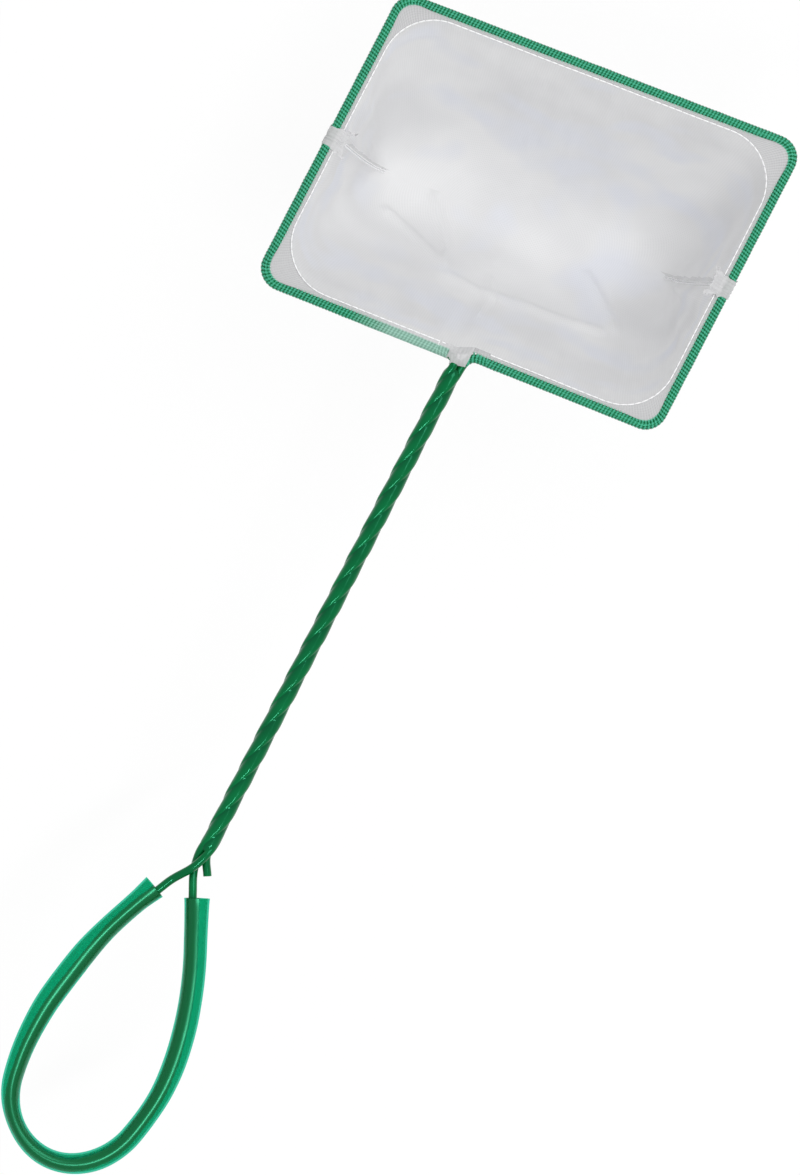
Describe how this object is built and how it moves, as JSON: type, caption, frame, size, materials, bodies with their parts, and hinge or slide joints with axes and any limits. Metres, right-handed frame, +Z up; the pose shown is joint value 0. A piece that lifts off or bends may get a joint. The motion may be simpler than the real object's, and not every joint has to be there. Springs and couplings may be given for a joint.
{
  "type": "aquarium fish net",
  "caption": "Hand-held aquarium net: fine mesh bag sewn round a rectangular wire hoop, on a twisted coated-wire shaft with a sleeved hand loop.",
  "frame": {"origin": "middle of the hand loop where it is widest, in the plane of its wire, where the hand closes round it", "axes": "+Y along the shaft towards the net, +Z up out of the mouth with the bag hanging below, X across the mouth"},
  "size_m": [0.1541, 0.4428, 0.0994],
  "materials": {
    "wire_coating": "dark green plastic dip coating, glossy, faintly uneven",
    "steel_core": "drawn galvanised wire",
    "soft_sleeve": "soft translucent green vinyl tube with a smooth shine",
    "bag_mesh": "fine white knitted mesh, slightly see-through, soft",
    "hem_mesh": "the same white mesh, folded double and gathered",
    "thread": "white sewing thread"
  },
  "bodies": {
    "net": {"hoop_coating": "wire_coating", "hoop_core": "steel_core", "left_strand_coating": "wire_coating", "left_strand_core": "steel_core", "right_strand_coating": "wire_coating", "right_strand_core": "steel_core", "return_strand_coating": "wire_coating", "return_strand_core": "steel_core", "loop_coating": "wire_coating", "loop_core": "steel_core", "bag_front": "bag_mesh", "bag_rear": "bag_mesh", "hem_front_left": "hem_mesh", "hem_front_right": "hem_mesh", "hem_rear": "hem_mesh", "hem_stitching": "thread", "side_seam_left": "hem_mesh", "side_seam_right": "hem_mesh", "seam_thread": "thread", "neck_gather": "hem_mesh"},
    "sleeve": {"grip_sleeve": "soft_sleeve"}
  },
  "joints": [
    {"name": "sleeve_slip", "type": "slide", "parent": "net", "child": "sleeve", "axis": [0, 1, 0], "range_m": [-0.0008, 0.0008]}
  ]
}
